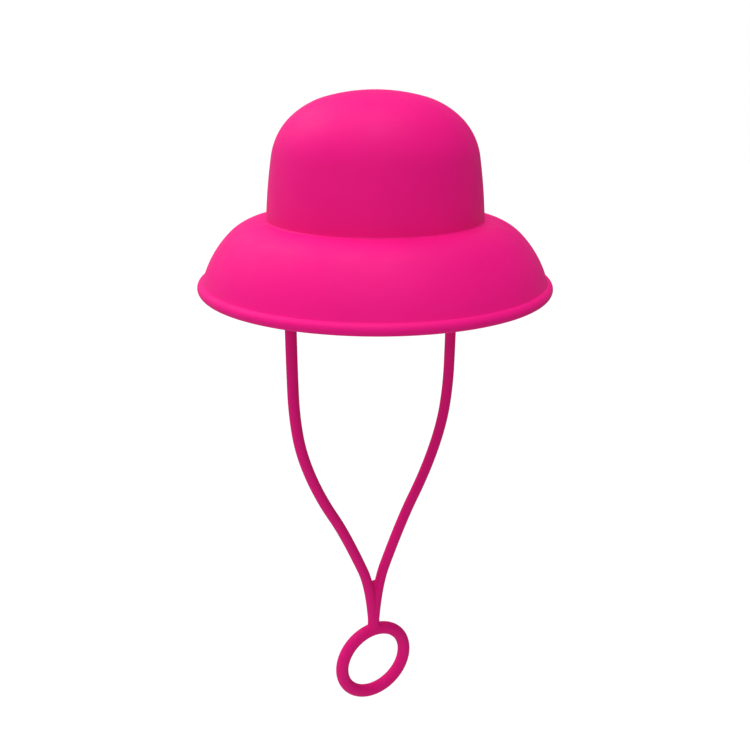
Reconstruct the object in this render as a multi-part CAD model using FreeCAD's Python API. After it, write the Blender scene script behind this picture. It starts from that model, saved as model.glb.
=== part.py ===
# Silicone hair highlighting cap: bell crown, flared brim with a round rim bead, and a Y-shaped chin
# strap that ends in a pull ring. Millimetres, +Z up. Left and right are as seen from the front,
# looking along +Y. Origin: centre of the crown's base, where the head enters. The strap lies in
# the XZ plane.
import FreeCAD, Part
import math
import os

V = FreeCAD.Vector
ORIGIN = V(0, 0, 0)
UP = V(0, 0, 1)
SIDE_VIEW = V(0, 1, 0)

# Crown: outer surface, from the crease at its base up to the apex. Slopes are from horizontal.
crown_base_radius = 91.0
crown_wall = 1.8
wall_slope_base = 87.0
wall_slope_top = 80.47
wall_sweep_radius = 458.0
lower_shoulder_radius = 52.9
shoulder_middle_slope = 41.8
upper_shoulder_radius = 69.4
shoulder_end_slope = 15.0

# Brim: leaves the crown level, curls over in two sweeps and ends inside the rim bead.
brim_wall = 2.2
brim_slope_root = -1.8
brim_slope_middle = 44.8
brim_slope_rim = 68.1
brim_root_radius = 43.8
brim_skirt_radius = 88.0
brim_tail = 9.0

# Rim bead: a solid round roll all round the brim's edge.
bead_ring_radius = 145.2
bead_height = -54.0
bead_radius = 4.9

# Sealing band: the thicker ring inside the crown's base, with soft ribs that press on the hairline.
band_inner_radius = 86.2
band_top = 21.0
rib_count = 3
rib_radius = 1.1
rib_pitch = 6.5
rib_first_height = 2.5

# Strap anchors: a lug under the crown's base on each side, and a mushroom stud facing inwards.
anchor_height = -8.0
lug_half_width = 9.0
lug_face = 83.9
lug_back = 90.6
lug_foot_thickness = 4.2
stud_shank_radius = 3.0
stud_head_radius = 5.6
stud_head_thickness = 3.0
eye_side_gap = 0.3

# Strap: round cord, an eye at each end, a yoke where both cords merge, and the ring.
cord_radius = 4.95
cord_centre_offset = 80.5
eye_thickness = 6.2
eye_radius = 8.0
eye_bore_radius = stud_shank_radius + 0.08
cord_top_height = -26.0
neck_full_height = -23.0
flat_end_height = -17.6

# Route of one cord's centre line as (distance from the middle plane, height), top to bottom.
cord_route = [
    (cord_centre_offset, cord_top_height),
    (cord_centre_offset, -72.0),
    (80.3, -120.0),
    (79.6, -162.0),
    (73.6, -202.0),
    (55.7, -248.0),
    (30.3, -292.0),
    (12.0, -336.0),
]
arc_share = 0.45
yoke_arm_run = 20.5
yoke_merge_height = -393.0
stem_half_spacing = 0.9
web_top_height = -350.0
web_bottom_height = -370.0
web_half_width = 2.6
web_thickness = 3.0

# Pull ring: a round-section ring in the strap's plane. The stem stops just short of it.
ring_radius = 35.3
ring_tube_radius = 6.1
ring_centre_height = -440.7
neck_gap = 0.3


def point(radius, height):
    """A point of an outline in the XZ plane."""
    return V(radius, 0, height)


def outward(slope):
    """Outward normal of a wall whose slope from horizontal is given in degrees."""
    turn = math.radians(slope)
    return V(math.sin(turn), 0, math.cos(turn))


def arc_chain(start, start_slope, sweeps, inset=0.0):
    """Tangent arcs from start; each sweep is (radius, end slope). Returns edges and the last point.

    With an inset the same chain is drawn that far inside the wall.
    """
    edges = []
    here = start
    slope = start_slope
    for radius, end_slope in sweeps:
        centre = here - outward(slope) * radius
        reach = radius - inset
        first = centre + outward(slope) * reach
        middle = centre + outward((slope + end_slope) / 2) * reach
        last = centre + outward(end_slope) * reach
        edges.append(Part.Arc(first, middle, last).toShape())
        here = centre + outward(end_slope) * radius
        slope = end_slope
    return edges, here


def end_point(edges, which):
    """First (0) or last (-1) point of a chain of edges."""
    return edges[which].Vertexes[which].Point


def line(start, end):
    return Part.LineSegment(start, end).toShape()


def revolve(edges):
    """Full turn about Z of the closed outline made by edges."""
    outline = Part.Wire(Part.__sortEdges__(edges))
    return Part.Solid(Part.Face(outline).revolve(ORIGIN, UP, 360))


def shell(start, start_slope, sweeps, wall, foot=None):
    """Edges of a wall that follows the sweeps, squared off at both ends.

    A foot is one more corner between the outer and the inner start.
    """
    outer, _ = arc_chain(start, start_slope, sweeps)
    inner, _ = arc_chain(start, start_slope, sweeps, wall)
    inner_start = end_point(inner, 0)
    edges = outer + inner + [line(end_point(outer, -1), end_point(inner, -1))]
    if foot is None:
        return edges + [line(start, inner_start)]
    return edges + [line(start, foot), line(foot, inner_start)]


crease = point(crown_base_radius, 0)
wall_sweeps = [(wall_sweep_radius, wall_slope_top)]
wall_inner_edge = arc_chain(crease, wall_slope_base, wall_sweeps, crown_wall)[0][0]
# Inner lower corner of the crown's wall, where crown, brim and band meet.
base_corner = point(wall_inner_edge.Vertexes[0].X, -brim_wall)
lower_shoulder_sweeps = [(lower_shoulder_radius, shoulder_middle_slope)]
upper_shoulder_sweeps = [(upper_shoulder_radius, shoulder_end_slope)]
brim_shoulder_sweeps = [(brim_root_radius, brim_slope_middle)]


def make_crown_wall():
    return revolve(shell(crease, wall_slope_base, wall_sweeps, crown_wall, base_corner))


def make_lower_shoulder():
    start = arc_chain(crease, wall_slope_base, wall_sweeps)[1]
    return revolve(shell(start, wall_slope_top, lower_shoulder_sweeps, crown_wall))


def make_upper_shoulder():
    start = arc_chain(crease, wall_slope_base, wall_sweeps + lower_shoulder_sweeps)[1]
    return revolve(shell(start, shoulder_middle_slope, upper_shoulder_sweeps, crown_wall))


def make_crown_dome():
    """Top of the crown; its arc's radius lets it reach the axis level."""
    sweeps = wall_sweeps + lower_shoulder_sweeps + upper_shoulder_sweeps
    start = arc_chain(crease, wall_slope_base, sweeps)[1]
    dome_radius = start.x / math.sin(math.radians(shoulder_end_slope))
    return revolve(shell(start, shoulder_end_slope, [(dome_radius, 0.0)], crown_wall))


def make_bead():
    return Part.makeTorus(bead_ring_radius, bead_radius, point(0, bead_height), UP)


def make_brim_shoulder():
    return revolve(shell(crease, brim_slope_root, brim_shoulder_sweeps, brim_wall, base_corner))


def make_brim_skirt():
    """Skirt with a straight tail that runs into the rim bead and is cut back to its surface."""
    start = arc_chain(crease, brim_slope_root, brim_shoulder_sweeps)[1]
    sweeps = [(brim_skirt_radius, brim_slope_rim)]
    skirt = revolve(shell(start, brim_slope_middle, sweeps, brim_wall))
    outer_end = arc_chain(start, brim_slope_middle, sweeps)[1]
    inner_end = outer_end - outward(brim_slope_rim) * brim_wall
    fall = math.radians(brim_slope_rim)
    reach = point(math.cos(fall), -math.sin(fall)) * brim_tail
    corners = [outer_end, outer_end + reach, inner_end + reach, inner_end, outer_end]
    tail = revolve(Part.makePolygon(corners).Edges)
    return skirt.fuse(tail).cut(make_bead()).removeSplitter()


def make_sealing_band():
    """Band between the crown's wall and the head, with half-round ribs facing inwards."""
    wall_start = end_point([wall_inner_edge], 0)
    wall_end = end_point([wall_inner_edge], -1)
    outline = [
        line(wall_start, base_corner),
        line(base_corner, point(band_inner_radius, -brim_wall)),
        line(point(band_inner_radius, -brim_wall), point(band_inner_radius, band_top)),
        line(point(band_inner_radius, band_top), wall_end),
        wall_inner_edge,
    ]
    above = Part.makeCylinder(crown_base_radius, wall_end.z, point(0, band_top), UP)
    band = revolve(outline).cut(above)
    for index in range(rib_count):
        height = rib_first_height + index * rib_pitch
        band = band.fuse(Part.makeTorus(band_inner_radius, rib_radius, point(0, height), UP))
    return band.removeSplitter()


def make_lug():
    """Tab under the crown's base: level top, round foot about the stud, back leaning in."""
    half = lug_half_width
    corner = V(lug_face, -half, anchor_height)
    plate = Part.makeBox(lug_back - lug_face, 2 * half, -brim_wall - anchor_height, corner)
    foot = Part.makeCylinder(half, lug_back - lug_face, V(lug_face, 0, anchor_height), V(1, 0, 0))
    corners = [
        point(lug_face, -brim_wall),
        point(lug_back, -brim_wall),
        point(lug_face + lug_foot_thickness, anchor_height - half),
        point(lug_face, anchor_height - half),
    ]
    outline = Part.makePolygon(corners + corners[:1])
    wedge = Part.Face(outline).extrude(SIDE_VIEW * 2 * half)
    wedge.translate(SIDE_VIEW * -half)
    return plate.fuse(foot).common(wedge).removeSplitter()


def make_stud():
    """Mushroom stud on the lug's face, pointing at the wearer's head."""
    eye_inner_face = cord_centre_offset - eye_thickness / 2
    head_base = eye_inner_face - eye_side_gap
    shank_length = lug_face - head_base
    shank = Part.makeCylinder(stud_shank_radius, shank_length, V(head_base, 0, anchor_height), V(1, 0, 0))
    dome_radius = (stud_head_radius ** 2 + stud_head_thickness ** 2) / (2 * stud_head_thickness)
    dome_centre = head_base - stud_head_thickness + dome_radius
    dome = Part.makeSphere(dome_radius, V(dome_centre, 0, anchor_height))
    rim = V(head_base, 0, anchor_height)
    keep = Part.makeCylinder(stud_head_radius, stud_head_thickness, rim, V(-1, 0, 0))
    return shank.fuse(dome.common(keep)).removeSplitter()


def make_eye():
    """Flattened end of the cord with the hole that the stud holds."""
    disc = Part.makeCylinder(
        eye_radius,
        eye_thickness,
        V(cord_centre_offset - eye_thickness / 2, 0, anchor_height),
        V(1, 0, 0),
    )
    neck_height = anchor_height - cord_top_height
    neck = Part.makeCylinder(cord_radius, neck_height, V(cord_centre_offset, 0, cord_top_height), UP)
    half_flat = eye_thickness / 2
    side = [
        (cord_radius, cord_top_height),
        (cord_radius, neck_full_height),
        (half_flat, flat_end_height),
        (half_flat, anchor_height + eye_radius),
    ]
    right = [point(cord_centre_offset + offset, height) for offset, height in side]
    left = [point(cord_centre_offset - offset, height) for offset, height in reversed(side)]
    outline = Part.makePolygon(right + left + right[:1])
    taper = Part.Face(outline).extrude(SIDE_VIEW * 2 * eye_radius)
    taper.translate(SIDE_VIEW * -eye_radius)
    bore = Part.makeCylinder(eye_bore_radius, crown_base_radius, V(0, 0, anchor_height), V(1, 0, 0))
    return disc.fuse(neck).common(taper).cut(bore).removeSplitter()


def round_route(route):
    """Straight runs joined by tangent arcs through the given points; returns edges and radii."""
    points = [point(x, z) for x, z in route]
    edges = []
    radii = []
    here = points[0]
    for before, corner, after in zip(points, points[1:], points[2:]):
        back = (before - corner).normalize()
        onward = (after - corner).normalize()
        shorter = min(corner.distanceToPoint(before), corner.distanceToPoint(after))
        turn = math.pi - back.getAngle(onward)
        radius = arc_share * shorter / math.tan(turn / 2)
        first = corner + back * arc_share * shorter
        last = corner + onward * arc_share * shorter
        bisector = (back + onward).normalize()
        centre = corner + bisector * (radius / math.cos(turn / 2))
        middle = centre - bisector * radius
        edges.append(line(here, first))
        edges.append(Part.Arc(first, middle, last).toShape())
        radii.append(radius)
        here = last
    edges.append(line(here, points[-1]))
    return edges, radii


def make_tube(route):
    """Round cord along a route; prints its bend radii and compares its volume with its length."""
    edges, radii = round_route(route)
    path = Part.Wire(edges)
    start = edges[0].Vertexes[0].Point
    heading = edges[0].Vertexes[-1].Point - start
    section = Part.Wire(Part.makeCircle(cord_radius, start, heading))
    tube = path.makePipeShell([section], True, False)
    expected = math.pi * cord_radius ** 2 * path.Length
    print("bend radii mm:", [round(radius) for radius in radii])
    print("length mm:", round(path.Length, 1), "volume ratio:", round(tube.Volume / expected, 4))
    return tube


def make_yoke():
    """Both cords run together into one flattened stem, with a thin web across the crotch."""
    arm_start = point(*cord_route[-1])
    heading = (arm_start - point(*cord_route[-2])).normalize()
    bend = arm_start + heading * yoke_arm_run
    stem_end = ring_centre_height + ring_radius + ring_tube_radius + neck_gap
    merge = (stem_half_spacing, yoke_merge_height)
    arm = make_tube([cord_route[-1], (bend.x, bend.z), merge, (stem_half_spacing, stem_end)])
    web = Part.makeBox(
        2 * web_half_width,
        web_thickness,
        web_top_height - web_bottom_height,
        V(-web_half_width, -web_thickness / 2, web_bottom_height),
    )
    return arm.fuse([mirrored(arm), web]).removeSplitter()


def make_ring():
    return Part.makeTorus(ring_radius, ring_tube_radius, point(0, ring_centre_height), SIDE_VIEW)


def mirrored(shape):
    """The same piece on the other side of the middle plane."""
    return shape.mirror(ORIGIN, V(1, 0, 0))


def main():
    os.makedirs("parts", exist_ok=True)
    nodes = {
        "crown_dome": make_crown_dome(),
        "crown_upper_shoulder": make_upper_shoulder(),
        "crown_lower_shoulder": make_lower_shoulder(),
        "crown_wall": make_crown_wall(),
        "brim_shoulder": make_brim_shoulder(),
        "brim_skirt": make_brim_skirt(),
        "rim_bead": make_bead(),
        "sealing_band": make_sealing_band(),
        "yoke": make_yoke(),
        "pull_ring": make_ring(),
    }
    pairs = {
        "lug": make_lug(),
        "stud": make_stud(),
        "strap_eye": make_eye(),
        "cord": make_tube(cord_route),
    }
    for name, shape in pairs.items():
        nodes["right_" + name] = shape
        nodes["left_" + name] = mirrored(shape)
    for name, shape in nodes.items():
        shape.exportStep("parts/" + name + ".step")
        print(name, "valid", shape.isValid(), "solids", len(shape.Solids), "volume", round(shape.Volume))


main()
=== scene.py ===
# Silicone highlighting cap: smooth mouldings, satin silicone and soft studio light round the packed
# CAD frame. Metres, +Z up; left and right are as seen from the front, looking along +Y.
import math

import bmesh
import bpy
import numpy as np
from mathutils import Matrix, Vector


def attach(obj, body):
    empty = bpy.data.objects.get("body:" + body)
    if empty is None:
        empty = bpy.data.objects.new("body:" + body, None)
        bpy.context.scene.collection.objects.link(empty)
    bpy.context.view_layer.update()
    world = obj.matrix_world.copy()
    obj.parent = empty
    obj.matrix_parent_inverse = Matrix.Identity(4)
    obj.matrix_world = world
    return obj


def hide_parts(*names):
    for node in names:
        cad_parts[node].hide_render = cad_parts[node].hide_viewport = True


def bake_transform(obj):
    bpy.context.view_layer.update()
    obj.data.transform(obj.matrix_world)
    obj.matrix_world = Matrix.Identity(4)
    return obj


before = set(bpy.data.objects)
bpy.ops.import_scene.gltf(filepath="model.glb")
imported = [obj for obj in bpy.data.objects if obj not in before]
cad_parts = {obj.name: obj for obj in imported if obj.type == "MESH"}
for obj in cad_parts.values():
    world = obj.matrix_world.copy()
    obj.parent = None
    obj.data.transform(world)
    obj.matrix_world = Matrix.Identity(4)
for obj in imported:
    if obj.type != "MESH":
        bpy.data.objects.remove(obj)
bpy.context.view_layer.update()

MM = 0.001
SIDES = {"left": -1, "right": 1}

# ---- Driving sizes, in metres unless a line says otherwise --------------------------------------

# Cap: slopes are degrees from horizontal, as in the CAD outline.
CROWN_BASE_RADIUS = 91.0 * MM
CROWN_WALL = 1.8 * MM
WALL_SLOPE_BASE, WALL_SLOPE_TOP = 87.0, 80.47
WALL_SWEEP_RADIUS = 458.0 * MM
SHOULDER_RADII = (52.9 * MM, 69.4 * MM)
SHOULDER_SLOPES = (WALL_SLOPE_TOP, 41.8, 15.0)
BRIM_WALL = 2.2 * MM
BRIM_SLOPES = (-1.8, 44.8, 68.1)
BRIM_RADII = (43.8 * MM, 88.0 * MM)
BEAD_RING_RADIUS = 145.2 * MM
BEAD_HEIGHT = -54.0 * MM
BEAD_RADIUS = 4.9 * MM
CREASE_FILLET = 1.5 * MM
BEAD_FILLET = 0.5 * MM
BAND_INNER_RADIUS = 86.2 * MM
BAND_TOP = 21.0 * MM
BAND_EDGE_RADIUS = 1.0 * MM
RIB_COUNT = 3
RIB_RADIUS = 1.1 * MM
RIB_HALF_WIDTH = 1.7 * MM
RIB_PITCH = 6.5 * MM
RIB_FIRST_HEIGHT = 2.5 * MM

# Anchors: an inset is how far a root reaches into the piece that carries it.
ANCHOR_HEIGHT = -8.0 * MM
ANCHOR_OFFSET = 80.5 * MM
EYE_THICKNESS = 6.2 * MM
EYE_RADIUS = 8.0 * MM
EYE_BORE_RADIUS = 3.08 * MM
EYE_EDGE, EYE_BORE_EDGE = 2.4 * MM, 0.8 * MM
EYE_NECK_FILLET = 5.0 * MM
ROUND_NECK_ROOM = 1.0 * MM
FLAT_END_HEIGHT = -17.6 * MM
NECK_FULL_HEIGHT = -23.0 * MM
LUG_FACE = 83.9 * MM
LUG_BACK = 90.6 * MM
LUG_HALF_WIDTH = 9.0 * MM
LUG_FOOT_THICKNESS = 4.2 * MM
LUG_EDGE = 1.6 * MM
LUG_INSET = 0.4 * MM
LUG_ROOT_FILLET = 3.0 * MM
# Middle and half sizes, in millimetres, of the slab in the cap's base that a lug grows from.
LUG_ROOT_MIDDLE = (90.2, 0.0, -1.4)
LUG_ROOT_HALF = (3.2, 11.5, 0.5)
STUD_SHANK_RADIUS = 3.0 * MM
STUD_HEAD_RADIUS = 5.6 * MM
STUD_HEAD_THICKNESS = 3.0 * MM
STUD_HEAD_LIP = 0.5 * MM
STUD_INSET = 1.0 * MM
EYE_SIDE_GAP = 0.3 * MM

# Strap: where a moulding meets a cord it runs on inside it, a hair thinner than the cord.
CORD_RADIUS = 4.95 * MM
CORD_LAP = 2.5 * MM
CORD_SET_IN = 0.05 * MM
# Control points of the right-hand cord's line from its eye down, as (x, z) in millimetres.
CORD_ROUTE = [
    (80.5, -26.0),
    (80.5, -72.0),
    (80.3, -120.0),
    (79.6, -162.0),
    (73.6, -202.0),
    (55.7, -248.0),
    (30.3, -292.0),
    (12.0, -336.0),
]
YOKE_ARM_RUN = 20.5 * MM
YOKE_MERGE_HEIGHT = -393.0 * MM
STEM_HALF_SPACING = 0.9 * MM
WEB_TOP_HEIGHT = -350.0 * MM
WEB_BOTTOM_HEIGHT = -370.0 * MM
WEB_HALF_WIDTH = 2.6 * MM
WEB_THICKNESS = 3.0 * MM
WEB_LAP = 1.5 * MM
WEB_EDGE = 1.2 * MM
ARM_FILLET, WEB_FILLET, RING_FILLET = 0.6 * MM, 1.2 * MM, 1.2 * MM
RING_RADIUS = 35.3 * MM
RING_TUBE_RADIUS = 6.1 * MM
RING_CENTRE_HEIGHT = -440.7 * MM

# Mesh fineness
LATHE_STEPS, STUD_STEPS = 288, 64
CORD_SIDES, BEAD_SIDES = 40, 40
CORD_LINE_STEPS, ARM_LINE_POINTS = 24, 25
FINE_SPACING, WIDE_SPACING = 0.25 * MM, 1.6 * MM
SAME_POINT = 0.01 * MM
SHARP_ANGLE = 50.0
ANCHOR_GRID, LOOP_GRID = 0.5 * MM, 0.8 * MM
# Lowest and highest corner, in millimetres, of the space that holds a right-hand lug or eye.
LUG_SPACE = ((83.0, -16.0, -18.0), (95.0, 16.0, 0.0))
EYE_SPACE = ((75.0, -9.0, -30.0), (86.0, 9.0, 1.0))
LOOP_HEADROOM = 4.0 * MM

# Camera: its axis passes under the origin at AIM_DROP, measured square to the axis.
CAMERA_AZIMUTH = -30.0
CAMERA_PITCH = 19.5
CAMERA_ROLL = 0.25
CAMERA_DISTANCE = 758.5 * MM
AIM_DROP = 131.3 * MM
FIELD_OF_VIEW = 45.0
CAMERA_SHIFT = 0.0004

# Silicones: linear colour and roughness. The strap's pink is darker than the cap's: painted shade for the
# strap, which hangs in the brim's shadow.
SILICONES = {
    "cap_silicone": ((0.76, 0.0068, 0.201), 0.55),
    "strap_silicone": ((0.705, 0.0064, 0.183), 0.55),
    "stud_silicone": ((0.67, 0.0064, 0.17), 0.5),
}
SPECULAR_LEVEL = 0.1
REFRACTIVE_INDEX = 1.41
CLOUD_SCALE, CLOUD_DETAIL, CLOUD_SHADE = 22.0, 3.0, 0.965
BLOOM_SCALE, BLOOM_DETAIL, BLOOM_SPREAD = 60.0, 4.0, 0.05
PEEL_SCALE, PEEL_DETAIL, PEEL_STRENGTH = 900.0, 3.0, 0.5
PEEL_DEPTH = 0.03 * MM

# Studio, with directions as seen by the camera.
TO_LEFT = Vector((-math.cos(math.radians(CAMERA_AZIMUTH)), -math.sin(math.radians(CAMERA_AZIMUTH)), 0.0))
TO_FRONT = Vector((math.sin(math.radians(CAMERA_AZIMUTH)), -math.cos(math.radians(CAMERA_AZIMUTH)), 0.0))
TO_TOP = Vector((0.0, 0.0, 1.0))
# The walls' level all round, and how much brighter they are straight in front, left and below.
WALLS_LEVEL = 0.57
WALLS_FRONT, WALLS_LEFT, WALLS_BELOW = 0.19, 0.2, 0.2
# Lamps as name, level, lean to the left and lean to the front; angles in degrees.
LAMP_SPREAD = 30.0
LAMPS = [
    ("overhead_lamp", 0.51, 0.0, 0.0),
    ("front_lamp", 0.26, 0.0, 30.0),
    ("back_left_lamp", 0.375, 40.0, -30.0),
]
FLOOR_HALF_WIDTH = 8.0
FLOOR_HEIGHT = -0.95
FLOOR_GREY, FLOOR_GLOW = 0.12, 0.87


# ---- Camera and cords ---------------------------------------------------------------------------

def make_camera():
    """Camera at the object's viewing angle: front left of the strap's plane, looking down."""
    data = bpy.data.cameras.new("camera")
    data.lens = data.sensor_width / 2 / math.tan(math.radians(FIELD_OF_VIEW / 2))
    data.shift_x = CAMERA_SHIFT
    camera = bpy.data.objects.new("camera", data)
    bpy.context.collection.objects.link(camera)
    azimuth = math.radians(CAMERA_AZIMUTH)
    pitch = math.radians(CAMERA_PITCH)
    back = Vector((math.sin(azimuth), -math.cos(azimuth), math.tan(pitch))).normalized()
    turn = (-back).to_track_quat("-Z", "Y").to_matrix()
    camera.rotation_euler = (turn @ Matrix.Rotation(math.radians(CAMERA_ROLL), 3, "Z")).to_euler()
    camera.location = back * CAMERA_DISTANCE - turn.col[1] * AIM_DROP
    bpy.context.scene.camera = camera


def cord_line(side):
    """Points of a cord's centre line: the route's NURBS spline, without thickness."""
    curve = bpy.data.curves.new(side + "_line", "CURVE")
    curve.dimensions = "3D"
    curve.resolution_u = CORD_LINE_STEPS
    spline = curve.splines.new("NURBS")
    spline.points.add(len(CORD_ROUTE) - 1)
    for control, (x, z) in zip(spline.points, CORD_ROUTE):
        control.co = (SIDES[side] * x * MM, 0.0, z * MM, 1.0)
    spline.order_u = 3
    spline.use_endpoint_u = True
    guide = bpy.data.objects.new(side + "_line", curve)
    line = bpy.data.meshes.new_from_object(guide)
    points = np.array([vertex.co for vertex in line.vertices])
    bpy.data.objects.remove(guide)
    bpy.data.curves.remove(curve)
    bpy.data.meshes.remove(line)
    return points


def make_cord(side):
    """One round cord of the strap, from its eye to the yoke: a tube along its centre line."""
    line = cord_line(side)
    ahead = np.gradient(line, axis=0)
    ahead = ahead / np.linalg.norm(ahead, axis=1)[:, None]
    forward = np.array([0.0, 1.0, 0.0])
    across = np.cross(forward, ahead)
    turns = np.linspace(0, 2 * math.pi, CORD_SIDES, endpoint=False)[None, :, None]
    rings = line[:, None] + CORD_RADIUS * (np.cos(turns) * forward + np.sin(turns) * across[:, None])
    count = len(line)
    number = np.arange(count * CORD_SIDES).reshape(count, CORD_SIDES)
    after = np.roll(number, -1, axis=1)
    sides = np.stack([number[:-1], after[:-1], after[1:], number[1:]], 2).reshape(-1, 4)
    faces = sides.tolist() + [number[0].tolist(), number[-1].tolist()]
    cord = add_mesh(side + "_cord_moulding", rings.reshape(-1, 3).tolist(), faces)
    settle(cord, "strap", "strap_silicone", side + "_cord")
    return cord, line.tolist()


# ---- Mesh helpers -------------------------------------------------------------------------------

def add_mesh(name, points, faces):
    """A smooth-shaded mesh object with its faces turned outwards."""
    mesh = bpy.data.meshes.new(name)
    mesh.from_pydata(points, [], faces)
    work = bmesh.new()
    work.from_mesh(mesh)
    bmesh.ops.recalc_face_normals(work, faces=work.faces)
    work.to_mesh(mesh)
    work.free()
    mesh.shade_smooth()
    mesh.set_sharp_from_angle(angle=math.radians(SHARP_ANGLE))
    piece = bpy.data.objects.new(name, mesh)
    bpy.context.collection.objects.link(piece)
    return piece


def settle(piece, body, slot, *nodes):
    """Ride on a body and stand for CAD nodes, which are hidden; slot is not used."""
    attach(piece, body)
    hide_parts(*nodes)
    return piece


def lathe(name, outline, place=None, steps=LATHE_STEPS):
    """Solid of revolution about Z of a closed outline of (radius, height); radius 0 makes a pole.

    place moves an array of points to where the piece belongs.
    """
    turn = np.linspace(0, 2 * math.pi, steps, endpoint=False)
    rows = []
    blocks = []
    count = 0
    for radius, height in outline:
        size = 1 if radius < SAME_POINT else steps
        angle = turn[:size]
        blocks.append(np.stack([radius * np.sin(angle), -radius * np.cos(angle), np.full(size, height)], 1))
        rows.append(count + np.arange(size))
        count += size
    points = np.concatenate(blocks)
    faces = []
    for here, there in zip(rows, rows[1:] + rows[:1]):
        if len(here) == 1 and len(there) == 1:
            continue
        for step in range(steps):
            after = (step + 1) % steps
            corners = [here[step % len(here)], there[step % len(there)]]
            corners += [there[after % len(there)], here[after % len(here)]]
            faces.append([int(c) for c in dict.fromkeys(corners)])
    if place is not None:
        points = place(points)
    return add_mesh(name, points.tolist(), faces)


def unit(slope):
    """Outward normal of a wall of that slope from horizontal, in degrees, as (radius, height)."""
    return np.array([math.sin(math.radians(slope)), math.cos(math.radians(slope))])


def arc(centre, start, end, step=2.0):
    """Points of the shorter arc about centre, from start to the direction of end.

    step is the turn between points in degrees, as far as their spacing allows.
    """
    first = np.array(start) - centre
    last = np.array(end) - centre
    angle_first = math.atan2(first[1], first[0])
    turn = (math.atan2(last[1], last[0]) - angle_first + math.pi) % (2 * math.pi) - math.pi
    radius = np.linalg.norm(first)
    spacing = max(FINE_SPACING, min(math.radians(step) * radius, WIDE_SPACING))
    count = max(3, math.ceil(abs(turn) * radius / spacing) + 1)
    angles = angle_first + np.linspace(0, turn, count)
    return [(centre[0] + radius * math.cos(a), centre[1] + radius * math.sin(a)) for a in angles]


def straight(start, end):
    """Points along a straight stretch, both ends included."""
    start, end = np.array(start), np.array(end)
    count = max(2, math.ceil(np.linalg.norm(end - start) / WIDE_SPACING) + 1)
    return [tuple(start + (end - start) * share) for share in np.linspace(0, 1, count)]


def joined(*stretches):
    """One outline from stretches, without repeated points."""
    outline = []
    for point in [p for stretch in stretches for p in stretch]:
        if not outline or math.dist(point, outline[-1]) > SAME_POINT:
            outline.append((float(point[0]), float(point[1])))
    if math.dist(outline[0], outline[-1]) < SAME_POINT:
        outline.pop()
    return outline


# ---- Cap: crown, brim, bead and band as solids of revolution ------------------------------------

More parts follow.
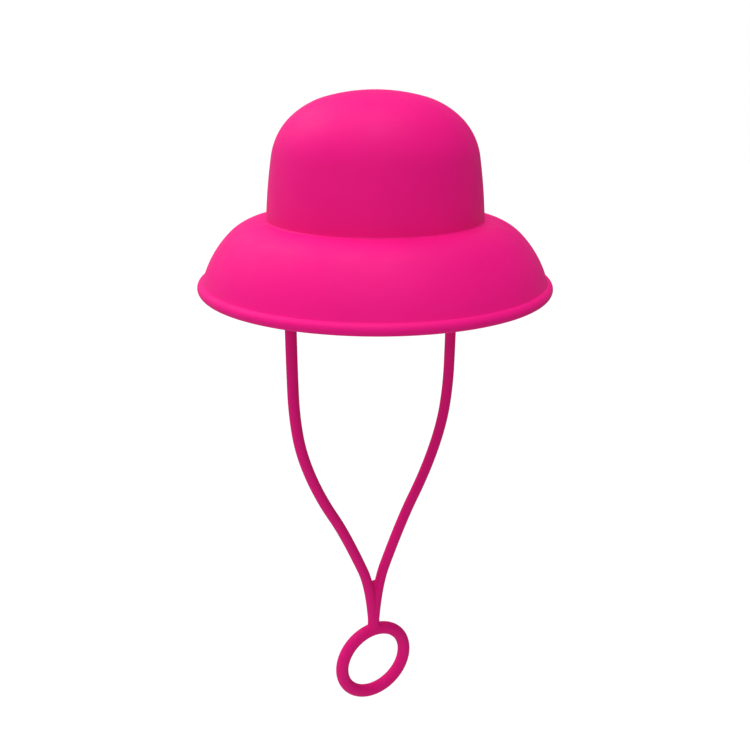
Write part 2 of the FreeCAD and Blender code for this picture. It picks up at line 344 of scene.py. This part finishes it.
class Profile:
    """Centres, ends and tangent points of the cap's outline, as (radius, height) in metres."""

    def __init__(self):
        crease = np.array([CROWN_BASE_RADIUS, 0.0])
        self.wall_centre = crease - unit(WALL_SLOPE_BASE) * WALL_SWEEP_RADIUS
        here = self.wall_centre + unit(WALL_SLOPE_TOP) * WALL_SWEEP_RADIUS
        self.shoulder_centres = []
        for radius, start, end in zip(SHOULDER_RADII, SHOULDER_SLOPES, SHOULDER_SLOPES[1:]):
            centre = here - unit(start) * radius
            self.shoulder_centres.append(centre)
            here = centre + unit(end) * radius
        self.dome_radius = here[0] / math.sin(math.radians(SHOULDER_SLOPES[-1]))
        self.dome_centre = here - unit(SHOULDER_SLOPES[-1]) * self.dome_radius
        self.root_centre = crease - unit(BRIM_SLOPES[0]) * BRIM_RADII[0]
        root_end = self.root_centre + unit(BRIM_SLOPES[1]) * BRIM_RADII[0]
        self.skirt_centre = root_end - unit(BRIM_SLOPES[1]) * BRIM_RADII[1]
        self.skirt_end = self.skirt_centre + unit(BRIM_SLOPES[2]) * BRIM_RADII[1]
        self.bead = np.array([BEAD_RING_RADIUS, BEAD_HEIGHT])
        self.fillet = self.crease_fillet()
        self.wall_foot = self.toward(self.wall_centre, self.fillet, WALL_SWEEP_RADIUS)
        self.brim_start = self.toward(self.root_centre, self.fillet, BRIM_RADII[0])
        self.brim_start_inside = self.toward(self.root_centre, self.fillet, BRIM_RADII[0] - BRIM_WALL)
        inner_foot = self.wall_centre + unit(WALL_SLOPE_BASE) * (WALL_SWEEP_RADIUS - CROWN_WALL)
        self.base_corner = np.array([inner_foot[0], -BRIM_WALL])

    @staticmethod
    def toward(centre, target, distance):
        """The point at that distance from centre on the way to target."""
        way = target - centre
        return centre + way / np.linalg.norm(way) * distance

    def crease_fillet(self):
        """Centre of the fillet that touches both the crown's wall and the brim from outside."""
        reach_wall = WALL_SWEEP_RADIUS + CREASE_FILLET
        reach_root = BRIM_RADII[0] + CREASE_FILLET
        span = self.root_centre - self.wall_centre
        gap = np.linalg.norm(span)
        along = (reach_wall ** 2 - reach_root ** 2 + gap ** 2) / (2 * gap)
        across = math.sqrt(reach_wall ** 2 - along ** 2)
        direction = span / gap
        side = np.array([-direction[1], direction[0]])
        options = [self.wall_centre + direction * along + side * across * sign for sign in (1, -1)]
        return max(options, key=lambda centre: centre[1])

    @staticmethod
    def ends(centre, radius, slopes, inset):
        """Start and end of a sweep between two slopes, that far inside the wall."""
        return [centre + unit(slope) * (radius - inset) for slope in slopes]

    def crown_outside(self, inset=0.0):
        """Apex down to the top of the crown's steep wall."""
        ends = self.ends(self.dome_centre, self.dome_radius, (0, SHOULDER_SLOPES[-1]), inset)
        dome = arc(self.dome_centre, *ends)
        dome[0] = (0.0, dome[0][1])
        sweeps = list(zip(self.shoulder_centres, SHOULDER_RADII, SHOULDER_SLOPES[1:], SHOULDER_SLOPES))
        for centre, radius, *slopes in reversed(sweeps):
            dome += arc(centre, *self.ends(centre, radius, slopes, inset))
        return dome

    def bead_join(self, inset, side):
        """Tangent points of the small fillet between the skirt's tail and the bead.

        side is 1 outside and -1 inside. Returns the fillet's centre, its point on the tail and its
        point on the bead.
        """
        normal = unit(BRIM_SLOPES[2])
        fall = np.array([normal[1], -normal[0]])
        start = self.skirt_end - normal * (inset - side * BEAD_FILLET)
        offset = start - self.bead
        half = offset @ fall
        reach = BEAD_RADIUS + BEAD_FILLET
        distance = -half - math.sqrt(half ** 2 - offset @ offset + reach ** 2)
        centre = start + fall * distance
        return centre, centre - normal * side * BEAD_FILLET, self.toward(self.bead, centre, BEAD_RADIUS)


def crown_outline(profile):
    """Outer surface down to the end of the crease fillet, and back up the inside."""
    wall_top = profile.wall_centre + unit(WALL_SLOPE_TOP) * WALL_SWEEP_RADIUS
    slopes = (WALL_SLOPE_BASE, WALL_SLOPE_TOP)
    inner_wall = profile.ends(profile.wall_centre, WALL_SWEEP_RADIUS, slopes, CROWN_WALL)
    return joined(
        profile.crown_outside(),
        arc(profile.wall_centre, wall_top, profile.wall_foot),
        arc(profile.fillet, profile.wall_foot, profile.brim_start, step=3.0),
        straight(profile.brim_start, profile.brim_start_inside),
        straight(profile.brim_start_inside, profile.base_corner),
        straight(profile.base_corner, inner_wall[0]),
        arc(profile.wall_centre, *inner_wall),
        profile.crown_outside(CROWN_WALL)[::-1],
    )


def brim_outline(profile):
    """From the crease fillet over the shoulder and skirt into the bead, and back inside."""
    root = profile.ends(profile.root_centre, BRIM_RADII[0], BRIM_SLOPES[:2], 0)
    skirt = profile.ends(profile.skirt_centre, BRIM_RADII[1], BRIM_SLOPES[1:], 0)
    root_inside = profile.ends(profile.root_centre, BRIM_RADII[0], BRIM_SLOPES[:2], BRIM_WALL)
    skirt_inside = profile.ends(profile.skirt_centre, BRIM_RADII[1], BRIM_SLOPES[1:], BRIM_WALL)
    outer_centre, outer_tail, outer_bead = profile.bead_join(0, 1)
    inner_centre, inner_tail, inner_bead = profile.bead_join(BRIM_WALL, -1)
    return joined(
        arc(profile.root_centre, profile.brim_start, root[1]),
        arc(profile.skirt_centre, *skirt),
        straight(skirt[1], outer_tail),
        arc(outer_centre, outer_tail, outer_bead, step=6.0),
        [profile.bead],
        arc(inner_centre, inner_bead, inner_tail, step=6.0),
        straight(inner_tail, skirt_inside[1]),
        arc(profile.skirt_centre, *skirt_inside[::-1]),
        arc(profile.root_centre, root_inside[1], profile.brim_start_inside),
    )


def bead_outline():
    """Round section of the rim's roll."""
    turns = np.linspace(0, 2 * math.pi, BEAD_SIDES, endpoint=False)
    radii = BEAD_RING_RADIUS + BEAD_RADIUS * np.cos(turns)
    return list(zip(radii.tolist(), (BEAD_HEIGHT + BEAD_RADIUS * np.sin(turns)).tolist()))


def band_outline(profile):
    """Sealing band: soft ribs on the inside, rounded edges, its back inside the crown's wall."""
    inside = []
    for height in np.arange(BAND_EDGE_RADIUS - BRIM_WALL, BAND_TOP - BAND_EDGE_RADIUS, FINE_SPACING):
        bulge = 0.0
        for index in range(RIB_COUNT):
            offset = abs(height - RIB_FIRST_HEIGHT - index * RIB_PITCH)
            if offset < RIB_HALF_WIDTH:
                bulge = RIB_RADIUS * (0.5 + 0.5 * math.cos(math.pi * offset / RIB_HALF_WIDTH))
        inside.append((BAND_INNER_RADIUS - bulge, height))
    edge_radius = BAND_INNER_RADIUS + BAND_EDGE_RADIUS
    low, top = inside[0][1], inside[-1][1]
    foot, crest = low - BAND_EDGE_RADIUS, top + BAND_EDGE_RADIUS
    wall_radius = WALL_SWEEP_RADIUS - CROWN_WALL / 2
    rise = BAND_TOP - profile.wall_centre[1]
    wall_at_top = profile.wall_centre[0] + math.sqrt(wall_radius ** 2 - rise ** 2)
    return joined(
        straight((profile.base_corner[0] + CROWN_WALL / 2, foot), (edge_radius, foot)),
        arc((edge_radius, low), (edge_radius, foot), (BAND_INNER_RADIUS, low), step=9.0),
        inside,
        arc((edge_radius, top), (BAND_INNER_RADIUS, top), (edge_radius, crest), step=9.0),
        [(wall_at_top, crest)],
    )


def make_cap():
    """The four lathe-turned regions of the cap moulding."""
    profile = Profile()
    crown = lathe("crown_moulding", crown_outline(profile))
    crown_nodes = ["crown_dome", "crown_upper_shoulder", "crown_lower_shoulder", "crown_wall"]
    settle(crown, "cap", "cap_silicone", *crown_nodes)
    brim = lathe("brim_moulding", brim_outline(profile))
    settle(brim, "cap", "cap_silicone", "brim_shoulder", "brim_skirt")
    bead = lathe("rim_bead_moulding", bead_outline())
    settle(bead, "cap", "cap_silicone", "rim_bead")
    band = lathe("sealing_band_moulding", band_outline(profile))
    settle(band, "cap", "cap_silicone", "sealing_band")
    return [crown, brim, bead, band]


# ---- Blended shapes: distance functions turned into quad meshes ---------------------------------

def smooth_min(a, b, reach):
    """Union of two distances with a fillet of about reach."""
    share = np.maximum(reach - np.abs(a - b), 0) / reach
    return np.minimum(a, b) - share * share * reach / 4


def smooth_max(a, b, reach):
    """Intersection of two distances with its edge rounded over about reach."""
    return -smooth_min(-a, -b, reach)


def box_distance(offset, half):
    """Distance from a box of those half sizes, at offsets from its middle."""
    out = np.abs(offset) - half
    return np.linalg.norm(np.maximum(out, 0), axis=1) + np.minimum(out.max(1), 0)


def gradient(distance, points):
    """Slope of a distance function, by central differences."""
    nudge = 0.02 * MM
    slopes = np.empty_like(points)
    for axis in range(3):
        offset = np.zeros(3)
        offset[axis] = nudge
        slopes[:, axis] = (distance(points + offset) - distance(points - offset)) / (2 * nudge)
    return slopes


def onto_surface(distance, points, rounds):
    """Points moved along the slope until they lie on the zero level."""
    least_slope_squared = 0.05
    for _ in range(rounds):
        slope = gradient(distance, points)
        squared = np.maximum((slope * slope).sum(1), least_slope_squared)
        points = points - slope * (distance(points) / squared)[:, None]
    return points


def surface_net(distance, space, step):
    """Quad mesh of a distance function's zero level in a space, as points and faces.

    Each cell of the grid that the surface passes through gives a point. The points are then moved
    on to the surface, and in four rounds evened out among their neighbours.
    """
    low = np.array(space[0]) - 2 * step
    high = np.array(space[1]) + 2 * step
    counts = np.ceil((high - low) / step).astype(int) + 1
    axes = [low[i] + step * np.arange(counts[i]) for i in range(3)]
    grid = np.stack(np.meshgrid(*axes, indexing="ij"), -1).reshape(-1, 3)
    inside = (distance(grid) < 0).reshape(counts)
    corners = np.zeros(counts - 1, int)
    for i in (0, 1):
        for j in (0, 1):
            for k in (0, 1):
                corners += inside[i:counts[0] - 1 + i, j:counts[1] - 1 + j, k:counts[2] - 1 + k]
    mixed = (corners > 0) & (corners < 8)
    number = np.full(mixed.shape, -1)
    number[mixed] = np.arange(mixed.sum())
    points = low + step * (np.argwhere(mixed) + 0.5)
    quads = []
    for axis in range(3):
        across, beyond = np.eye(3, dtype=int)[(axis + 1) % 3], np.eye(3, dtype=int)[(axis + 2) % 3]
        near = inside.take(range(counts[axis] - 1), axis)
        far = inside.take(range(1, counts[axis]), axis)
        for leaving in (True, False):
            edges = np.argwhere((near & ~far) if leaving else (~near & far))
            ring = [edges - across - beyond, edges - beyond, edges, edges - across]
            quad = np.stack([number[tuple(cell.T)] for cell in ring], 1)
            quads.append(quad if leaving else quad[:, ::-1])
    quads = np.concatenate(quads)
    points = onto_surface(distance, points, rounds=4)
    for _ in range(4):
        total = np.zeros_like(points)
        shares = np.zeros(len(points))
        for a, b in ((0, 1), (1, 2), (2, 3), (3, 0)):
            np.add.at(total, quads[:, a], points[quads[:, b]])
            np.add.at(total, quads[:, b], points[quads[:, a]])
            np.add.at(shares, quads[:, a], 1)
            np.add.at(shares, quads[:, b], 1)
        points = onto_surface(distance, total / shares[:, None], rounds=2)
    return points, quads


def blended(name, distance, space, step, mirror=False):
    """A mesh object of a distance function, mirrored to the left side if asked."""
    points, quads = surface_net(distance, space, step)
    if mirror:
        points = points * np.array([-1.0, 1.0, 1.0])
    return add_mesh(name, points.tolist(), quads.tolist())


def eye_distance(p):
    """Right-hand strap eye: round cord flattened to a disc, with the stud's hole."""
    x, y, z = p[:, 0] - ANCHOR_OFFSET, p[:, 1], p[:, 2]
    spread = np.hypot(y, z - ANCHOR_HEIGHT)
    cord_top = CORD_ROUTE[0][1] * MM
    radius = CORD_RADIUS - CORD_SET_IN * (z < cord_top)
    cord = np.maximum(np.hypot(x, y) - radius, np.maximum(z - ANCHOR_HEIGHT, cord_top - CORD_LAP - z))
    body = smooth_min(spread - EYE_RADIUS, cord, EYE_NECK_FILLET)
    share = np.clip((z - NECK_FULL_HEIGHT) / (FLAT_END_HEIGHT - NECK_FULL_HEIGHT), 0, 1)
    share = share * share * (3 - 2 * share)
    half = (CORD_RADIUS + ROUND_NECK_ROOM) * (1 - share) + EYE_THICKNESS / 2 * share
    flat = smooth_max(body, np.abs(x) - half, EYE_EDGE)
    return smooth_max(flat, EYE_BORE_RADIUS - spread, EYE_BORE_EDGE)


def lug_distance(p):
    """Right-hand lug: a tab with a round foot, flared where it leaves the cap's underside."""
    x, y, z = p[:, 0], p[:, 1], p[:, 2]
    face = np.hypot(y, np.minimum(z - ANCHOR_HEIGHT, 0)) - LUG_HALF_WIDTH
    foot_height = ANCHOR_HEIGHT - LUG_HALF_WIDTH
    share = np.clip((z - foot_height) / (-BRIM_WALL - foot_height), 0, 1)
    back = LUG_FACE + LUG_FOOT_THICKNESS + (LUG_BACK - LUG_FACE - LUG_FOOT_THICKNESS) * share
    plate = smooth_max(face, np.maximum(LUG_FACE - x, x - back), LUG_EDGE)
    plate = np.maximum(plate, z + BRIM_WALL - LUG_INSET)
    root = box_distance(p - np.array(LUG_ROOT_MIDDLE) * MM, np.array(LUG_ROOT_HALF) * MM)
    return smooth_min(plate, root, LUG_ROOT_FILLET)


def stud_outline():
    """Mushroom stud as (radius, distance from the middle plane), from its root to its crown."""
    head_base = ANCHOR_OFFSET - EYE_THICKNESS / 2 - EYE_SIDE_GAP
    head_top = head_base - STUD_HEAD_THICKNESS
    dome_radius = (STUD_HEAD_RADIUS ** 2 + STUD_HEAD_THICKNESS ** 2) / (2 * STUD_HEAD_THICKNESS)
    lip_radius = STUD_HEAD_RADIUS - STUD_HEAD_LIP
    lip_middle = head_base - STUD_HEAD_LIP
    lip_end = lip_middle - STUD_HEAD_LIP
    crown = arc((0.0, head_top + dome_radius), (lip_radius, lip_end), (0.0, head_top), step=6.0)
    crown[-1] = (0.0, crown[-1][1])
    return joined(
        [(0.0, LUG_FACE + STUD_INSET), (STUD_SHANK_RADIUS, LUG_FACE + STUD_INSET)],
        straight((STUD_SHANK_RADIUS, LUG_FACE), (STUD_SHANK_RADIUS, head_base)),
        straight((STUD_SHANK_RADIUS, head_base), (lip_radius, head_base)),
        arc((lip_radius, lip_middle), (lip_radius, head_base), (STUD_HEAD_RADIUS, lip_middle), step=12.0),
        arc((lip_radius, lip_middle), (STUD_HEAD_RADIUS, lip_middle), (lip_radius, lip_end), step=12.0),
        crown,
    )


def make_anchor(side):
    """Lug, stud and strap eye of one side."""
    sign = SIDES[side]
    left = sign < 0
    lug_space = np.array(LUG_SPACE) * MM
    lug = blended(side + "_lug_moulding", lug_distance, lug_space, ANCHOR_GRID, left)
    settle(lug, "cap", "cap_silicone", side + "_lug")

    def lay_down(points):
        """The lathe's Z axis becomes the stud's X axis."""
        return np.stack([sign * points[:, 2], points[:, 0], points[:, 1] + ANCHOR_HEIGHT], 1)

    stud = lathe(side + "_stud_moulding", stud_outline(), lay_down, STUD_STEPS)
    settle(stud, "cap", "stud_silicone", side + "_stud")
    eye_space = np.array(EYE_SPACE) * MM
    eye = blended(side + "_eye_moulding", eye_distance, eye_space, ANCHOR_GRID, left)
    settle(eye, "strap", "strap_silicone", side + "_strap_eye")
    return lug, stud, eye


def arm_line():
    """Centre line of the right-hand arm of the yoke, from inside the cord down to the ring."""
    start = np.array(CORD_ROUTE[-1]) * MM
    heading = start - np.array(CORD_ROUTE[-2]) * MM
    heading = heading / np.linalg.norm(heading)
    bend = start + heading * YOKE_ARM_RUN
    merge = np.array([STEM_HALF_SPACING, YOKE_MERGE_HEIGHT])
    share = np.linspace(0, 1, ARM_LINE_POINTS)[:, None]
    curve = start * (1 - share) ** 2 + bend * 2 * share * (1 - share) + merge * share ** 2
    ring_top = np.array([STEM_HALF_SPACING, RING_CENTRE_HEIGHT + RING_RADIUS])
    return np.concatenate([[start - heading * CORD_LAP], curve, [ring_top]]), start, heading


def distance_to_line(points, line):
    """Distance from 2D points to a run of straight pieces."""
    best = np.full(len(points), np.inf)
    for a, b in zip(line, line[1:]):
        way = b - a
        share = np.clip((points - a) @ way / (way @ way), 0, 1)
        offset = points - a - share[:, None] * way
        best = np.minimum(best, (offset * offset).sum(1))
    return np.sqrt(best)


def loop_distance():
    """Distance function of the yoke, its web and stem and the pull ring as one flowing shape."""
    line, start, heading = arm_line()
    web_middle = (WEB_TOP_HEIGHT + WEB_BOTTOM_HEIGHT) / 2
    web_half = [WEB_HALF_WIDTH + WEB_LAP, WEB_THICKNESS / 2, (WEB_TOP_HEIGHT - WEB_BOTTOM_HEIGHT) / 2]

    def distance(p):
        x, y, z = p[:, 0], p[:, 1], p[:, 2]
        arms = []
        for side in (1, -1):
            flat = np.stack([side * x, z], 1)
            beyond = (flat - start) @ -heading
            radius = CORD_RADIUS - CORD_SET_IN * (beyond > 0)
            arm = np.hypot(distance_to_line(flat, line), y) - radius
            arms.append(np.maximum(arm, beyond - CORD_LAP))
        from_middle = np.stack([x, y, z - web_middle], 1)
        web = box_distance(from_middle, np.array(web_half) - WEB_EDGE) - WEB_EDGE
        yoke = smooth_min(smooth_min(*arms, ARM_FILLET), web, WEB_FILLET)
        ring = np.hypot(np.hypot(x, z - RING_CENTRE_HEIGHT) - RING_RADIUS, y) - RING_TUBE_RADIUS
        return smooth_min(yoke, ring, RING_FILLET)

    return distance


def make_loop():
    """Yoke, stem and ring in one piece."""
    half = RING_RADIUS + RING_TUBE_RADIUS
    low = (-half, -RING_TUBE_RADIUS, RING_CENTRE_HEIGHT - half)
    high = (half, RING_TUBE_RADIUS, CORD_ROUTE[-1][1] * MM + LOOP_HEADROOM)
    loop = blended("yoke_and_ring_moulding", loop_distance(), (low, high), LOOP_GRID)
    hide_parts("yoke", "pull_ring")
    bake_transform(loop)
    return loop


# ---- Silicone -----------------------------------------------------------------------------------

def silicone(name, colour, roughness):
    """Satin moulded silicone: faint clouds of shade, fine orange peel and a soft, uneven bloom."""
    material = bpy.data.materials.new(name)
    material.use_nodes = True
    nodes, links = material.node_tree.nodes, material.node_tree.links
    shader = nodes["Principled BSDF"]
    place = nodes.new("ShaderNodeTexCoord").outputs["Object"]

    def noise(scale, detail):
        """Value of a noise fixed to the piece."""
        texture = nodes.new("ShaderNodeTexNoise")
        texture.inputs["Scale"].default_value = scale
        texture.inputs["Detail"].default_value = detail
        links.new(place, texture.inputs["Vector"])
        return texture.outputs["Fac"]

    def spread(value, low, high):
        """The middle of a noise's range stretched to run from low to high."""
        remap = nodes.new("ShaderNodeMapRange")
        remap.inputs["From Min"].default_value = 0.3
        remap.inputs["From Max"].default_value = 0.7
        remap.inputs["To Min"].default_value = low
        remap.inputs["To Max"].default_value = high
        links.new(value, remap.inputs["Value"])
        return remap.outputs["Result"]

    cloud = nodes.new("ShaderNodeMix")
    cloud.data_type = "RGBA"
    cloud.inputs["A"].default_value = (*[channel * CLOUD_SHADE for channel in colour], 1)
    cloud.inputs["B"].default_value = (*colour, 1)
    links.new(spread(noise(CLOUD_SCALE, CLOUD_DETAIL), 0.0, 1.0), cloud.inputs["Factor"])
    links.new(cloud.outputs["Result"], shader.inputs["Base Color"])
    bloom = noise(BLOOM_SCALE, BLOOM_DETAIL)
    satin = spread(bloom, roughness - BLOOM_SPREAD, roughness + BLOOM_SPREAD)
    links.new(satin, shader.inputs["Roughness"])

    peel = nodes.new("ShaderNodeBump")
    peel.inputs["Strength"].default_value = PEEL_STRENGTH
    peel.inputs["Distance"].default_value = PEEL_DEPTH
    links.new(noise(PEEL_SCALE, PEEL_DETAIL), peel.inputs["Height"])
    links.new(peel.outputs["Normal"], shader.inputs["Normal"])
    shader.inputs["Specular IOR Level"].default_value = SPECULAR_LEVEL
    shader.inputs["IOR"].default_value = REFRACTIVE_INDEX
    return material


def dress(pieces, slot):
    """Give pieces the silicone of a slot."""
    material = silicone(slot, *SILICONES[slot])
    for piece in pieces:
        piece.data.materials.clear()
        piece.data.materials.append(material)


# ---- Studio -------------------------------------------------------------------------------------

def make_floor():
    """White floor far below the ring, glowing so that it stays even and nearly shadowless."""
    half = FLOOR_HALF_WIDTH
    mesh = bpy.data.meshes.new("floor")
    corners = [(-half, -half, 0), (half, -half, 0), (half, half, 0), (-half, half, 0)]
    mesh.from_pydata(corners, [], [(0, 1, 2, 3)])
    floor = bpy.data.objects.new("floor", mesh)
    floor.location = (0, 0, FLOOR_HEIGHT)
    bpy.context.collection.objects.link(floor)
    paint = bpy.data.materials.new("floor_paint")
    paint.use_nodes = True
    shader = paint.node_tree.nodes["Principled BSDF"]
    shader.inputs["Base Color"].default_value = (FLOOR_GREY, FLOOR_GREY, FLOOR_GREY, 1)
    shader.inputs["Roughness"].default_value = 0.9
    shader.inputs["Specular IOR Level"].default_value = 0.0
    shader.inputs["Emission Color"].default_value = (1, 1, 1, 1)
    shader.inputs["Emission Strength"].default_value = FLOOR_GLOW
    mesh.materials.append(paint)
    floor.visible_diffuse = False
    floor.visible_glossy = False


def make_surround():
    """White studio walls that light the cap a little more from the front, the left and below.

    The camera itself sees them as plain white.
    """
    world = bpy.data.worlds.new("studio")
    bpy.context.scene.world = world
    world.use_nodes = True
    nodes, links = world.node_tree.nodes, world.node_tree.links
    nodes.clear()
    place = nodes.new("ShaderNodeTexCoord")
    along = nodes.new("ShaderNodeVectorMath")
    along.operation = "DOT_PRODUCT"
    along.inputs[1].default_value = TO_FRONT * WALLS_FRONT + TO_LEFT * WALLS_LEFT - TO_TOP * WALLS_BELOW
    links.new(place.outputs["Generated"], along.inputs[0])
    level = nodes.new("ShaderNodeMath")
    level.operation = "ADD"
    level.inputs[1].default_value = WALLS_LEVEL
    links.new(along.outputs["Value"], level.inputs[0])
    light = nodes.new("ShaderNodeBackground")
    light.inputs["Color"].default_value = (1, 1, 1, 1)
    links.new(level.outputs[0], light.inputs["Strength"])
    seen = nodes.new("ShaderNodeBackground")
    seen.inputs["Color"].default_value = (1, 1, 1, 1)
    seen.inputs["Strength"].default_value = 1.0
    mix = nodes.new("ShaderNodeMixShader")
    path = nodes.new("ShaderNodeLightPath")
    links.new(path.outputs["Is Camera Ray"], mix.inputs["Fac"])
    links.new(light.outputs[0], mix.inputs[1])
    links.new(seen.outputs[0], mix.inputs[2])
    output = nodes.new("ShaderNodeOutputWorld")
    links.new(mix.outputs[0], output.inputs["Surface"])


def make_lamp(name, level, lean_left, lean_front):
    """Wide soft lamp far away; it leans from straight overhead by the two angles in degrees.

    At level 1 it brings a white surface that faces it to full white.
    """
    data = bpy.data.lights.new(name, "SUN")
    data.energy = math.pi * level
    data.angle = math.radians(LAMP_SPREAD)
    lamp = bpy.data.objects.new(name, data)
    bpy.context.collection.objects.link(lamp)
    left, front = math.tan(math.radians(lean_left)), math.tan(math.radians(lean_front))
    toward = TO_TOP + TO_LEFT * left + TO_FRONT * front
    lamp.rotation_euler = toward.to_track_quat("Z", "Y").to_euler()


# ---- Making -------------------------------------------------------------------------------------

make_camera()
cords, cord_lines = zip(*[make_cord(side) for side in SIDES])
loop = make_loop()
lugs, studs, eyes = zip(*[make_anchor(side) for side in SIDES])
cap_pieces = make_cap()

dress([*cap_pieces, *lugs], "cap_silicone")
# The strap silicone's darker pink is painted shade from the brim above the cords, eyes, yoke and ring.
dress([loop, *cords, *eyes], "strap_silicone")
dress(studs, "stud_silicone")

make_floor()
make_surround()
for name, level, lean_left, lean_front in LAMPS:
    make_lamp(name, level, lean_left, lean_front)
bpy.context.scene.view_settings.view_transform = "Standard"

bpy.context.view_layer.update()
